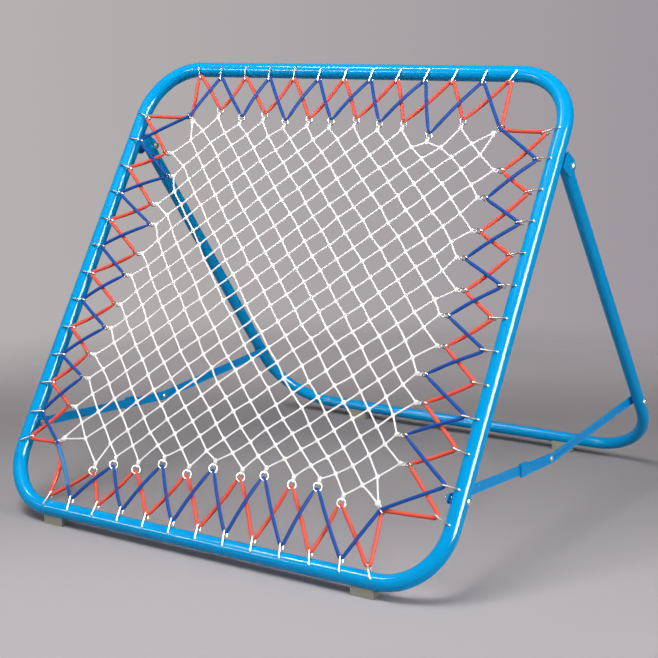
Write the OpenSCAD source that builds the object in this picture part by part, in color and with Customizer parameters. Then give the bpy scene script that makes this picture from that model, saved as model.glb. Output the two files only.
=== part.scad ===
// Folding rebound frame: a square steel tube frame that leans on a folding U-shaped rear leg.
// A knotted net hangs inside the frame on wire hooks, steel rings and two elastic cords.
// X runs across, Y from front to back, Z up. The frame's own plane has u across, v up along
// the frame and n out of its front face.

/* [Rebound frame] */
// Outer width and height of the square tube frame
frame_size = 1000; // [900:10:1100]
// Outside diameter of the frame tube
tube_d = 30; // [28:1:34]
// Wall thickness of both tubes
tube_wall = 1.5; // [1:0.25:2.5]
// Centreline radius of the frame's corner bends
corner_r = 112; // [100:1:115]
// Lean of the frame, measured up from the floor
tilt = 57.5; // [55:0.5:60]
// Height of both bottom tube axes above the floor
axis_h = 29; // [25:1:35]

/* [Rear leg] */
// Outside diameter of the leg tube
leg_d = 25; // [22:1:26]
// Centreline radius of the leg's bends
leg_bend_r = 140; // [120:5:160]
// Distance on the floor between the two bottom tube axes
stance = 970; // [900:10:1000]
// Hinge bolt's height along the side tube, from the bottom tube axis
hinge_up = 809; // [780:1:830]
// Hinge bolt's distance behind the side tube's axis
hinge_back = 43.5; // [40:0.5:50]
// Tube left beyond the hinge bolt
leg_stub = 18; // [14:1:20]

/* [Folding stays] */
// Width of the flat stay bars
bar_w = 18; // [16:1:20]
// Thickness of the flat stay bars
bar_t = 3; // [2:0.5:3]
// Front stay pivot, along the side tube from the bottom tube axis
front_pivot_up = 163; // [150:1:180]
// Rear stay pivot, along the leg from its bottom tube axis
rear_pivot_up = 170; // [160:1:200]
// Front bar's length between its pivots
front_bar_len = 388; // [386:1:392]
// Rear bar's length between its pivots
rear_bar_len = 394; // [393:1:398]
// Rear bar's length past the middle rivet
lock_len = 128; // [110:1:140]
// Length of the folded stop that rests on the front bar
lug_len = 26; // [20:1:45]

/* [Hooks and rings] */
// Spacing of the wire hooks along each side
hook_pitch = 61.7; // [60:0.1:62]
// Wire thickness of the hooks
hook_wire = 3; // [2:0.25:3.5]
// How far the hooks reach inwards from the tube axis, on the top, right, bottom and left side
hook_reach = [31, 36, 31, 31]; // [28:1:37]
// Straight wire past the curl, on the top, right, bottom and left side
hook_tip = [5, 7, 7, 3]; // [3:1:8]
// Turn of the hooks away from their pull, on the top, right, bottom and left side, in degrees
hook_lean = [-3, -1, 3, 0]; // [-15:1:15]
// Centreline radius of a steel ring
ring_r = 7.75; // [6:0.25:9]
// Wire thickness of the rings
ring_wire = 2; // [1.5:0.25:2.5]
// Turn of the rings about their pull, on the top, right, bottom and left side
ring_turn = [-14, -10, 38, 10]; // [-45:1:45]

/* [Elastic cords] */
// Thickness of both elastic cords
cord_d = 6.5; // [5:0.25:7]
// Length of the red cord's joint sleeve
red_sleeve_len = 40; // [20:5:60]
// Length of the blue cord's joint sleeve
blue_sleeve_len = 72; // [40:2:80]

/* [Net] */
// Meshes along one side of the net, each set on its point
net_meshes = 13; // [13:1:13]
// Thickness of the net's cord
net_cord = 3.2; // [2:0.2:4]
// Spacing of the rings along a side
ring_pitch = 56; // [52:0.5:58]
// Top rings: distance from the middle, slant, bow of the ends, shift along the side
top_rings_at = [368, -4, 2, 0]; // [-30:1:370]
// Right rings, in the same order
right_rings_at = [366, -12, -2, 6]; // [-30:1:370]
// Bottom rings, in the same order
bottom_rings_at = [350, 20, 22, 12]; // [-30:1:370]
// Left rings, in the same order
left_rings_at = [352, -15, 20, -2]; // [-30:1:370]
// How far the rings of the two cords stand apart
ring_stagger = 6; // [0:1:10]
// Corner rings, across from the middle: top right, bottom right, bottom left, top left
corner_rings_across = [368, 352, -392, -350]; // [-400:1:400]
// Corner rings, up from the middle, in the same order
corner_rings_up = [365, -367, -359, 368]; // [-400:1:400]
// Length of the tie between a ring's middle and the net's outer knot
tie_len = 15; // [13:1:18]

/* [Feet] */
// Length of a foot pad
foot_len = 46; // [40:1:60]
// Depth of a foot pad
foot_depth = 20; // [18:1:24]
// Distance of the front pads from the middle
front_foot_x = 350; // [300:1:355]
// Distance of the rear pads from the middle
rear_foot_x = 270; // [250:1:320]

/* [Hidden] */
$fn = 48;

half = (frame_size - tube_d) / 2;      // from the middle to a frame tube's axis
tube_r = tube_d / 2;
leg_r = leg_d / 2;
gap = 0.3;                             // room between faces that only lie on each other
snug = 0.05;                           // room between pieces that are clamped together

// The front tube's axis, set so that the whole object stands centred on the origin
front_y = -(stance + leg_r - tube_r) / 2;
rear_y = front_y + stance;

// A point of the frame's plane (v from the bottom tube axis, n out of the face) as world Y and Z
function side_view(v, n) = [
    front_y + v * cos(tilt) - n * sin(tilt),
    axis_h + v * sin(tilt) + n * cos(tilt)
];

hinge = side_view(hinge_up, -hinge_back);
leg_foot = [rear_y, axis_h];
leg_len = norm(hinge - leg_foot);
leg_angle = atan2(hinge[1] - leg_foot[1], hinge[0] - leg_foot[0]);

// The three pivots of a stay, in side view
pivot_a = side_view(front_pivot_up, 0);
pivot_b = leg_foot + rear_pivot_up * [cos(leg_angle), sin(leg_angle)];
stay_span = norm(pivot_b - pivot_a);
stay_dir = (pivot_b - pivot_a) / stay_span;
stay_along = (pow(front_bar_len, 2) - pow(rear_bar_len, 2) + pow(stay_span, 2)) / (2 * stay_span);
stay_drop = sqrt(pow(front_bar_len, 2) - pow(stay_along, 2));
pivot_m = pivot_a + stay_along * stay_dir + stay_drop * [stay_dir[1], -stay_dir[0]];

// Stays stand side by side inside the tubes; these are the outer faces of the bars
rear_bar_x = half - leg_r - 2;
front_bar_x = rear_bar_x - bar_t - 0.5;

bolt_r = 3;
hinge_bolt_r = 4;
rivet_r = 3;
bar_end = 3;                           // bar left past a pivot before the rounded end starts

module in_frame() {
    translate([0, front_y, axis_h]) rotate([tilt, 0, 0]) translate([0, half, 0]) children();
}

module in_leg() {
    translate([0, rear_y, axis_h]) rotate([leg_angle, 0, 0]) children();
}

// Extrudes a side-view outline along X, from x0 over the given thickness
module side_plate(x0, thick) {
    translate([x0, 0, 0]) rotate([90, 0, 90]) linear_extrude(thick) children();
}

// Puts a child that is drawn on the right-hand side on both sides
module both_sides() {
    children();
    mirror([1, 0, 0]) children();
}

module x_rod(x0, x1, r) {
    translate([x0, 0, 0]) rotate([0, 90, 0]) cylinder(r = r, h = x1 - x0);
}

// ---- Tubes ----

module tube_ring(r) {
    difference() {
        circle(r = r);
        circle(r = r - tube_wall);
    }
}

// A straight tube along X, centred on the origin
module tube_x(len, r) {
    translate([-len / 2, 0, 0]) rotate([0, 90, 0]) linear_extrude(len) tube_ring(r);
}

// A quarter bend in the XY plane, from +X to +Y about its own centre
module tube_bend(bend, r) {
    rotate_extrude(angle = 90, $fn = 96) translate([bend, 0]) tube_ring(r);
}

hook_play = 0.5;                       // room round a hook's wire in its hole

// A screw hole up through the underside of a bottom tube, at x, in a part that leans by the given angle
module screw_hole(x, lean, d) {
    translate([x, 0, 0]) rotate([-lean, 0, 0]) translate([0, 0, -d]) cylinder(r = screw_hole_r, h = d);
}

module drilled_frame() {
    run = 2 * (half - corner_r);
    difference() {
        union() {
            for (m = [0 : 3]) rotate(90 * m) {
                translate([0, half, 0]) tube_x(run, tube_r);
                translate([half - corner_r, half - corner_r, 0]) tube_bend(corner_r, tube_r);
            }
        }
        for (side = [0 : 3], k = [1 : hooks_per_side])
            translate(concat(hook_hole(side, k), [0])) cylinder(r = hook_wire / 2 + hook_play, h = tube_d);
        translate([0, front_pivot_up - half, 0]) x_rod(-frame_size, frame_size, bolt_r);
        translate([0, -half, 0]) for (x = [-front_foot_x, front_foot_x]) screw_hole(x, tilt, tube_d);
    }
}

module front_frame() {
    color("#00a2e8") in_frame() drilled_frame();
}

module rear_leg() {
    run = 2 * (half - leg_bend_r);
    rise = leg_len + leg_stub - leg_bend_r;
    color("#00a2e8") in_leg() difference() {
        union() {
            tube_x(run, leg_r);
            both_sides() {
                translate([half - leg_bend_r, leg_bend_r, 0]) rotate(-90) tube_bend(leg_bend_r, leg_r);
                translate([half, leg_bend_r, 0]) rotate([-90, 0, 0]) linear_extrude(rise) tube_ring(leg_r);
            }
        }
        translate([0, leg_len, 0]) x_rod(-frame_size, frame_size, hinge_bolt_r);
        translate([0, rear_pivot_up, 0]) x_rod(-frame_size, frame_size, bolt_r);
        for (x = [-rear_foot_x, rear_foot_x]) screw_hole(x, leg_angle, leg_d);
    }
}

// ---- Hinge brackets: U-shaped channels behind the side tubes ----

plate_t = 3;
bracket_gap = leg_d + 2;               // inside width of the channel
bracket_low = 22;                      // bracket below the bolt
bracket_high = 12;                     // bracket above the bolt
bracket_front = 10;                    // the cheeks' front edge, behind the tube's axis
bracket_deep = 38;                     // where the cheeks' round end starts, behind the tube's axis
washer_t = (bracket_gap - leg_d) / 2 - 2 * snug;

// Cheek outline in side view of the frame: v across, n up
function cheek_outline() =
    let (r = (bracket_low + bracket_high) / 2, mid = hinge_up - half + (bracket_high - bracket_low) / 2)
    concat(
        [[mid + r, -bracket_front], [mid - r, -bracket_front]],
        [for (a = [180 : 10 : 360]) [mid + r * cos(a), -bracket_deep + r * sin(a)]]
    );

module hinge_bracket() {
    wide = bracket_gap + 2 * plate_t;
    low = hinge_up - half - bracket_low;
    difference() {
        translate([half, 0, 0]) union() {
            for (x = [-wide / 2, wide / 2 - plate_t]) side_plate(x, plate_t) polygon(cheek_outline());
            translate([-wide / 2, low, -tube_r - snug - plate_t])
                cube([wide, bracket_low + bracket_high, plate_t]);
        }
        translate([0, hinge_up - half, -hinge_back]) x_rod(half - wide, half + wide, hinge_bolt_r);
    }
}

module right_hinge_bracket() {
    color("#0090d8") in_frame() hinge_bracket();
}

module left_hinge_bracket() {
    color("#0090d8") in_frame() mirror([1, 0, 0]) hinge_bracket();
}

// ---- Bolts, nuts and washers, drawn along X on the right-hand side ----

// Button-head bolt: the head's seat at x1, the end of the thread at x0
module button_bolt(x0, x1, r, head_r, head_h) {
    x_rod(x0, x1 + 0.5, r);
    translate([x1, 0, 0]) rotate([0, 90, 0]) rotate_extrude() polygon(concat(
        [[0, 0], [head_r, 0], [head_r, head_h * 0.25]],
        [for (a = [15 : 15 : 75]) [head_r * cos(a), head_h * (0.25 + 0.75 * sin(a))]],
        [[0, head_h]]
    ));
}

// Hexagon lock nut with a collar, its seat at x1, reaching inwards
module lock_nut(x1, bore_r, across, thick) {
    translate([x1, 0, 0]) rotate([0, -90, 0]) difference() {
        union() {
            cylinder(r = across / sqrt(3), h = thick * 0.72, $fn = 6);
            cylinder(r = across / 2 - 0.4, h = thick);
        }
        translate([0, 0, -1]) cylinder(r = bore_r, h = thick + 2);
    }
}

module flat_washer(x0, thick, bore_r, r) {
    translate([x0, 0, 0]) rotate([0, 90, 0]) difference() {
        cylinder(r = r, h = thick);
        translate([0, 0, -1]) cylinder(r = bore_r, h = thick + 2);
    }
}

cheek_out = bracket_gap / 2 + plate_t;

module at_hinge() {
    translate([0, hinge[0], hinge[1]]) children();
}

module at_side(p) {
    translate([0, p[0], p[1]]) children();
}

module hinge_bolts() {
    color("silver") at_hinge() both_sides()
        button_bolt(half - cheek_out - 9, half + cheek_out + snug, hinge_bolt_r - snug, 6, 3.6);
}

module hinge_nuts() {
    color("silver") at_hinge() both_sides() lock_nut(half - cheek_out - snug, hinge_bolt_r, 13, 7.5);
}

module hinge_washers() {
    color("white") at_hinge() both_sides() for (x = [half - bracket_gap / 2 + snug, half + leg_r + snug])
        flat_washer(x, washer_t, hinge_bolt_r + snug, 9);
}

module front_stay_bolts() {
    color("silver") at_side(pivot_a) both_sides()
        button_bolt(front_bar_x - bar_t - 7.5, half + tube_r + snug, bolt_r - snug, 6.5, 4);
}

module front_stay_nuts() {
    color("silver") at_side(pivot_a) both_sides() lock_nut(front_bar_x - bar_t - snug, bolt_r, 10, 6);
}

module front_stay_spacers() {
    color("silver") at_side(pivot_a) both_sides()
        flat_washer(front_bar_x + snug, half - tube_r - front_bar_x - 2 * snug, bolt_r, 6);
}

module rear_stay_bolts() {
    color("silver") at_side(pivot_b) both_sides()
        button_bolt(rear_bar_x + 0.2, half + leg_r + snug, bolt_r - snug, 6.5, 4);
}

module rear_stay_spacers() {
    color("silver") at_side(pivot_b) both_sides()
        flat_washer(rear_bar_x + snug, half - leg_r - rear_bar_x - 2 * snug, bolt_r, 6);
}

// The nut keeps the inner end of the bolt's thread, which turns with the bar
module rear_stay_nut() {
    x_out = rear_bar_x - bar_t - snug;
    at_side(pivot_b) {
        lock_nut(x_out, bolt_r - snug, 10, 6);
        x_rod(x_out - 7.5, rear_bar_x - snug, bolt_r - snug);
    }
}

module right_rear_stay_nut() {
    color("silver") rear_stay_nut();
}

module left_rear_stay_nut() {
    color("silver") mirror([1, 0, 0]) rear_stay_nut();
}

// Domed rivet through both bars, carried by the front bar
module mid_rivet() {
    x_in = front_bar_x - bar_t - snug;
    x_out = rear_bar_x + snug;
    at_side(pivot_m) {
        button_bolt(x_in - 0.4, x_out, rivet_r - snug, 5.5, 1.8);
        mirror([1, 0, 0]) button_bolt(-x_in - 0.4, -x_in, rivet_r - snug, 5, 1.8);
    }
}

module right_mid_rivet() {
    color("silver") mid_rivet();
}

module left_mid_rivet() {
    color("silver") mirror([1, 0, 0]) mid_rivet();
}

// ---- Stays ----

function unit(p) = p / norm(p);
function left_of(d) = [-d[1], d[0]];

// Outline of a flat bar of width w along a line of points, with round ends
function bar_outline(pts, w) =
    let (
        last = len(pts) - 1,
        dirs = [for (i = [0 : last - 1]) unit(pts[i + 1] - pts[i])],
        sums = [for (i = [1 : 1 : last - 1]) left_of(dirs[i - 1]) + left_of(dirs[i])],
        turns = [for (m = sums) 2 * m / (m * m)],
        a0 = atan2(dirs[0][1], dirs[0][0]),
        a1 = atan2(dirs[last - 1][1], dirs[last - 1][0])
    )
    concat(
        [for (a = [90 : 15 : 270]) pts[0] + w / 2 * [cos(a0 + a), sin(a0 + a)]],
        [for (i = [1 : 1 : last - 1]) pts[i] - w / 2 * turns[i - 1]],
        [for (a = [-90 : 15 : 90]) pts[last] + w / 2 * [cos(a1 + a), sin(a1 + a)]],
        [for (i = [last - 1 : -1 : 1]) pts[i] + w / 2 * turns[i - 1]]
    );

module front_stay() {
    d = unit(pivot_m - pivot_a);
    difference() {
        side_plate(front_bar_x - bar_t, bar_t)
            polygon(bar_outline([pivot_a - bar_end * d, pivot_m + bar_end * d], bar_w));
        at_side(pivot_a) x_rod(front_bar_x - 10, front_bar_x + 10, bolt_r);
        at_side(pivot_m) x_rod(front_bar_x - 10, front_bar_x + 10, rivet_r);
    }
}

// The rear bar runs past the rivet along the front bar and ends in a stop folded over its top
lock_drop = 3;
lock_end = pivot_m + lock_len * unit(pivot_a - pivot_m) + [0, -lock_drop];
lock_angle = atan2(lock_end[1] - pivot_m[1], lock_end[0] - pivot_m[0]) + 180;
lug_seat = bar_w / 2 + lock_drop + gap;
lug_in = front_bar_x - bar_t;

lug_low = -bar_w / 2 - 1;
lug_mid = lock_end + lug_len / 2 * unit(pivot_m - lock_end);

module in_lug() {
    translate(lock_end) rotate(lock_angle) children();
}

module lug_cheek() {
    in_lug() translate([0, lug_low]) square([lug_len, lug_seat + bar_t - lug_low]);
}

module rear_stay() {
    d = unit(pivot_m - pivot_b);
    difference() {
        union() {
            side_plate(rear_bar_x - bar_t, bar_t) {
                polygon(bar_outline([pivot_b - bar_end * d, pivot_m, lug_mid], bar_w));
                lug_cheek();
            }
            side_plate(lug_in, rear_bar_x - lug_in)
                in_lug() translate([0, lug_seat]) square([lug_len, bar_t]);
        }
        at_side(pivot_b) x_rod(rear_bar_x - 10, rear_bar_x + 10, bolt_r);
        at_side(pivot_m) x_rod(rear_bar_x - 10, rear_bar_x + 10, rivet_r);
    }
}

module right_front_stay() {
    color("#0078c0") front_stay();
}

module left_front_stay() {
    color("#0078c0") mirror([1, 0, 0]) front_stay();
}

module right_rear_stay() {
    color("#0078c0") rear_stay();
}

module left_rear_stay() {
    color("#0078c0") mirror([1, 0, 0]) rear_stay();
}

// ---- Feet: pads with a groove for the tube, each held by a countersunk screw ----

screw_r = 2;
screw_hole_r = screw_r + 0.1;
screw_head_r = 4;
screw_head_h = 2;
screw_seat = 4;                        // height of the screw head's seat above the floor
screw_grip = 4;                        // how far the screw reaches past the tube's underside
pad_top = 5;                           // the pad's edge below the tube's axis

module foot_pad(r) {
    difference() {
        translate([-foot_len / 2, -foot_depth / 2, -axis_h]) cube([foot_len, foot_depth, axis_h - pad_top]);
        x_rod(-foot_len, foot_len, r + snug);
        translate([0, 0, -axis_h - 1]) cylinder(r = screw_hole_r, h = axis_h);
        translate([0, 0, -axis_h - 1]) cylinder(r = screw_head_r + 0.2, h = screw_seat + 1);
    }
}

module foot_screw(r) {
    top = -r + tube_wall + screw_grip - 2;
    seat = -axis_h + screw_seat;
    translate([0, 0, seat - screw_head_h]) cylinder(r = screw_head_r, h = screw_head_h - snug);
    translate([0, 0, seat - 1]) cylinder(r = screw_r, h = top - seat + 1);
}

module at_feet(y, x) {
    for (s = [-x, x]) translate([s, y, axis_h]) children();
}

module front_feet() {
    color("#8e9186") at_feet(front_y, front_foot_x) foot_pad(tube_r);
}

module front_foot_screws() {
    color("silver") at_feet(front_y, front_foot_x) foot_screw(tube_r);
}

module rear_feet() {
    color("#8e9186") at_feet(rear_y, rear_foot_x) foot_pad(leg_r);
}

module rear_foot_screws() {
    color("silver") at_feet(rear_y, rear_foot_x) foot_screw(leg_r);
}

// ---- Sides of the frame: 0 top, 1 right, 2 bottom, 3 left, walked clockwise ----

hooks_per_side = net_meshes;
rings_per_side = net_meshes - 2;
mid_hook = (hooks_per_side + 1) / 2;
rings_at = [top_rings_at, right_rings_at, bottom_rings_at, left_rings_at];
corner_rings_at = [for (c = [0 : 3]) [corner_rings_across[c], corner_rings_up[c]]];

function outward(side) = [sin(90 * side), cos(90 * side)];
function along(side) = [cos(90 * side), -sin(90 * side)];
function turned(p, a) = [p[0] * cos(a) - p[1] * sin(a), p[0] * sin(a) + p[1] * cos(a)];

hook_n = tube_r + hook_wire / 2 + 0.2; // height of a hook's wire over the tube's axis
curl_r = 5.3;                          // radius of the hook's curl, round the cord
cord_n = hook_n - curl_r;              // height of the cords, rings and net over the tube's axis
cord_r = cord_d / 2;

function hook_hole(side, k) = half * outward(side) + (k - mid_hook) * hook_pitch * along(side);

// A hook points at the middle between the two rings that its cord runs to, give or take its lean
function hook_dir(side, k) =
    let (pull = (ring_at(side, k - 2) + ring_at(side, k)) / 2 - hook_hole(side, k))
    turned(unit(pull), hook_lean[side]);
function hook_bow(side, k) = hook_hole(side, k) + hook_reach[side] * hook_dir(side, k);

// No two rings of a hand-strung net hang alike: how far each one is off its even place, outwards
// and along the side, for the top, right, bottom and left side
ring_moves = [
    [[3, 2], [2, 5], [0, 4], [-1, 3], [-5, 2], [6, -2], [0, -2], [6, -3], [-3, -6], [-14, 0], [6, 6]],
    [[10, -6], [8, -6], [5, 3], [5, 1], [13, 6], [9, 0], [11, 1], [3, 0], [8, -4], [4, 1], [18, -5]],
    [[10, -3], [6, -3], [1, -6], [7, 0], [4, -7], [7, 1], [10, -2], [6, 4], [5, 4], [6, 4], [2, -9]],
    [[2, 0], [16, 5], [19, -1], [20, 2], [10, -2], [27, 6], [8, -1], [12, 9], [14, -2], [7, 7], [15, 3]]
];

function ring_mid(side, k) =
    let (
        q = rings_at[side],
        t = (2 * k - rings_per_side - 1) / (rings_per_side - 1),
        move = ring_moves[side][k - 1],
        stagger = k % 2 == 1 ? ring_stagger : -ring_stagger
    )
    (q[0] + q[1] * t + q[2] * t * t + stagger + move[0]) * outward(side)
    + (q[3] + ring_pitch * (k - (rings_per_side + 1) / 2) + move[1]) * along(side);

// Before the first ring of a side comes the corner ring before it, after the last one the next corner's
function ring_at(side, k) =
    k < 1 ? corner_rings_at[(side + 3) % 4] :
    k > rings_per_side ? corner_rings_at[side] :
    ring_mid(side, k);

// ---- Sweeping a round wire or cord along points ----

// One ring of points, mitred between the incoming and outgoing directions; up is square to the path
function mitre_ring(p, before, after, r, sides, up) =
    let (
        m = unit(before + after),
        b = unit(cross(up, before)),
        a = cross(before, b)
    )
    [for (i = [0 : sides - 1])
        let (x = r * (cos(360 * i / sides) * a + sin(360 * i / sides) * b))
        p + x - before * ((x * m) / (before * m))];

function sweep_rings(path, r, sides, up, closed) =
    let (n = len(path))
    [for (i = [0 : n - 1])
        let (
            before = (i == 0 && !closed) ? unit(path[1] - path[0]) : unit(path[i] - path[(i + n - 1) % n]),
            after = (i == n - 1 && !closed) ? before : unit(path[(i + 1) % n] - path[i])
        )
        mitre_ring(path[i], before, after, r, sides, up)];

module sweep(path, r, sides, up, closed) {
    n = len(path);
    rings = sweep_rings(path, r, sides, up, closed);
    bands = closed ? n : n - 1;
    walls = [for (i = [0 : bands - 1], j = [0 : sides - 1])
        let (
            a = i * sides + j,
            b = i * sides + (j + 1) % sides,
            c = ((i + 1) % n) * sides + (j + 1) % sides,
            d = ((i + 1) % n) * sides + j
        )
        each [[a, b, c], [a, c, d]]];
    caps = closed ? [] : [
        [for (j = [sides - 1 : -1 : 0]) j],
        [for (j = [0 : sides - 1]) (n - 1) * sides + j]
    ];
    polyhedron(points = [for (ring = rings) each ring], faces = concat(walls, caps), convexity = 10);
}

// ---- Wire hooks: a tail inside the tube, the wire out over its face and curled round the cord ----

inner_r = tube_r - tube_wall;
tail_n = inner_r - hook_wire / 2 - 1.8; // height of the tail's bend, under the tube's wall
tail_end = [-0.63 * inner_r, 0.56 * inner_r];

// Hook's centreline: p runs inwards from the hole, n out of the face
function hook_line(reach, tip) = concat(
    [tail_end, [-2.5, tail_n], [-0.7, tail_n + 0.7], [0, tail_n + 2.4]],
    [[0, hook_n - 2.5], [0.7, hook_n - 0.7], [2.5, hook_n]],
    [for (a = [90 : -36 : -90]) [reach - curl_r + curl_r * cos(a), cord_n + curl_r * sin(a)]],
    [[reach - curl_r - tip, cord_n - curl_r]]
);

module hooks(side) {
    line = hook_line(hook_reach[side], hook_tip[side]);
    color("#d8d8d4") in_frame() for (k = [1 : hooks_per_side]) {
        base = hook_hole(side, k);
        d = hook_dir(side, k);
        sweep([for (q = line) [base[0] + q[0] * d[0], base[1] + q[0] * d[1], q[1]]],
            hook_wire / 2, 6, [d[1], -d[0], 0], false);
    }
}

module top_hooks() hooks(0);
module right_hooks() hooks(1);
module bottom_hooks() hooks(2);
module left_hooks() hooks(3);

// ---- Steel rings, standing edge-on to the cord that runs through them ----

module steel_ring(mid, out_dir, turn) {
    translate([mid[0], mid[1], cord_n]) rotate(atan2(out_dir[1], out_dir[0])) rotate([turn, 0, 0])
        rotate([90, 0, 0]) rotate_extrude() translate([ring_r, 0]) circle(r = ring_wire / 2, $fn = 24);
}

module side_rings(side) {
    color("#d8d8d4") in_frame() for (k = [1 : rings_per_side])
        steel_ring(ring_mid(side, k), outward(side), ring_turn[side]);
}

module top_rings() side_rings(0);
module right_rings() side_rings(1);
module bottom_rings() side_rings(2);
module left_rings() side_rings(3);

module corner_rings() {
    color("#d8d8d4") in_frame() for (p = corner_rings_at) steel_ring(p, unit(p), 0);
}

// ---- Elastic cords: one closed loop each, from hook to ring to hook all the way round ----

wrap_room = 0.25;
askew_room = 1.4;                      // more room at a ring, by the sine of its turn
hook_wrap = cord_r + hook_wire / 2 + wrap_room;
cross_rise = cord_r + 0.15;            // half the height between the cords where they cross

// A turned ring's wire stands askew to the cord, which needs more room
function ring_wrap(side) =
    (cord_r + ring_wire / 2 + wrap_room) / cos(ring_turn[side]) + askew_room * abs(sin(ring_turn[side]));

// The two bends of a turn round a wire at w, bulging towards e, walked along s; shares says how far
// each bend stands from the middle of the turn
function bends(w, e, s, wrap, n, shares) = [
    concat(w + wrap * (e - shares[0] * s), [n]),
    concat(w + wrap * (e + shares[1] * s), [n])
];

// The share at which the cord's straight stretch towards another turn just clears the wire
function bend_share(w, e, wrap, other, other_wrap) =
    let (
        d = other - w,
        lean = acos(-(unit(d) * e)) - asin((wrap + other_wrap) / norm(d))
    )
    (1 - sin(lean)) / cos(lean);

function hook_bends(side, k) =
    let (w = hook_bow(side, k), d = hook_dir(side, k), r = ring_wrap(side))
    bends(w, -d, left_of(d), hook_wrap, cord_n,
        [for (m = [k - 2, k]) bend_share(w, -d, hook_wrap, ring_wire_at(side, m), r)]);

function ring_wire_at(side, k) = ring_at(side, k) + ring_r * outward(side);
function ring_bends(side, k) =
    let (w = ring_wire_at(side, k), e = -outward(side), r = ring_wrap(side))
    bends(w, e, along(side), r, cord_n,
        [for (m = [k, k + 2]) bend_share(w, e, r, hook_bow(side, m), hook_wrap)]);

// A corner ring holds both cords, one over the other
corner_lap = cord_r + 0.05;
corner_shift = 0.9;                    // from the ring's middle outwards to the wire that the bend is set by
corner_wrap = corner_shift + cord_r * 0.3;
corner_share = 0.57;
function corner_bends(corner, lift) =
    let (p = corner_rings_at[corner], e = unit(p))
    bends(p + corner_shift * e, -e, [e[1], -e[0]], corner_wrap, cord_n + lift, [corner_share, corner_share]);

// Where the cord comes to a hook or ring, and where it leaves it
function turn_at_ring(side, k) =
    k < 1 ? corner_bends((side + 3) % 4, 0) :
    k > rings_per_side ? corner_bends(side, 0) :
    ring_bends(side, k);
function stretch_in(side, k) = [hook_bends(side, k)[1], turn_at_ring(side, k)[0]];
function stretch_out(side, k) = [turn_at_ring(side, k)[1], hook_bends(side, k + 2)[0]];

// Where one straight stretch crosses another, seen square to the frame
function crossing(one, other) =
    let (
        a = [one[0][0], one[0][1]],
        c = [other[0][0], other[0][1]],
        r = [one[1][0], one[1][1]] - a,
        s = [other[1][0], other[1][1]] - c
    )
    a + cross(c - a, s) / cross(r, s) * r;

// Mid points of the stretch from hook k in to ring k, and from ring k out to hook k + 2
function going_in(side, k, lift) =
    concat(crossing(stretch_in(side, k), stretch_out(side, k - 1)), [cord_n + lift]);
function going_out(side, k, lift) =
    concat(crossing(stretch_out(side, k), stretch_in(side, k + 1)), [cord_n + lift]);

// The red cord uses the odd hooks and runs below, the blue cord the even hooks and runs above
function side_route(side, first, lift) =
    let (last = hooks_per_side + 1 - first)
    concat(
        first == 2 ? [going_out(side, 0, lift)] : [],
        [for (k = [first : 2 : last]) each concat(
            hook_bends(side, k),
            k < last ? concat(
                [going_in(side, k, lift)],
                ring_bends(side, k),
                [going_out(side, k, lift)]
            ) : []
        )],
        first == 2 ? [going_in(side, last, lift)] : [],
        corner_bends(side, lift > 0 ? corner_lap : -corner_lap)
    );

function cord_route(first, lift) = [for (side = [0 : 3]) each side_route(side, first, lift)];

module bungee(first, lift) {
    in_frame() sweep(cord_route(first, lift), cord_r, 8, [0, 0, 1], true);
}

module red_bungee() {
    color("#ff5a40") bungee(1, -cross_rise);
}

module blue_bungee() {
    color("#1f4fc8") bungee(2, cross_rise);
}

// A joint sleeve: a tube on the straight stretch from p to q, starting at the given distance from q
module sleeve(p, q, start, len, wall) {
    d = unit(p - q);
    middle = q + (start + len / 2) * d;
    translate(middle) rotate([0, acos(d[2]), atan2(d[1], d[0])]) difference() {
        cylinder(r = cord_r + 0.1 + wall, h = len, center = true);
        cylinder(r = cord_r + 0.1, h = len + 2, center = true);
    }
}

red_end = hook_bends(2, hooks_per_side)[1];
red_corner = corner_bends(2, -corner_lap)[0];
blue_end = going_in(2, hooks_per_side - 1, cross_rise);
blue_corner = corner_bends(2, corner_lap)[0];

module red_cord_sleeve() {
    color("#ff6a50") in_frame() sleeve(red_corner, red_end, 10, red_sleeve_len, 1);
}

module blue_cord_sleeve() {
    color("#3a86c8") in_frame() sleeve(blue_end, blue_corner, 14, blue_sleeve_len, 0.8);
}

// ---- Net: square meshes set on their points, pulled to the rings ----

last_knot = 2 * net_meshes;            // knots are numbered 0 to last_knot across and down

// Where a ring pulls the net's edge knot to; a corner ring holds two knots, side by side
function tied(p, e) = p - tie_len * e;
corner_spread = 2.2;

// Knots on the net's edge, i across from the left and j down from the top; i + j is odd
function edge_knot(i, j) =
    let (
        side = j == 0 ? 0 : i == last_knot ? 1 : j == last_knot ? 2 : 3,
        step = side == 0 ? i : side == 1 ? j : side == 2 ? last_knot - i : last_knot - j,
        k = (step - 1) / 2,
        c = ring_at(side, k),
        aside = corner_spread * (k == 0 ? 1 : -1)
    )
    (k == 0 || k > rings_per_side)
        ? tied(c, unit(c)) + aside * along(side)
        : tied(c, outward(side));

function is_edge(i, j) = i == 0 || j == 0 || i == last_knot || j == last_knot;
function has_knot(i, j) = (i + j) % 2 == 1;

// First guess: the edge knots' mean square, drawn straight across
net_half = rings_at[0][0] - tie_len;
function first_knot(i, j) = net_half * [2 * i / last_knot - 1, 1 - 2 * j / last_knot];

start_net = [for (j = [0 : last_knot]) [for (i = [0 : last_knot])
    !has_knot(i, j) ? 0 : is_edge(i, j) ? edge_knot(i, j) : first_knot(i, j)]];

// Every inner knot settles in the middle of its four neighbours, over and over
function settle(net, steps) =
    steps == 0 ? net :
    settle([for (j = [0 : last_knot]) [for (i = [0 : last_knot])
        !has_knot(i, j) ? 0 :
        is_edge(i, j) ? net[j][i] :
        (net[j - 1][i - 1] + net[j - 1][i + 1] + net[j + 1][i - 1] + net[j + 1][i + 1]) / 4]],
        steps - 1);

settled = settle(start_net, 160);

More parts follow.
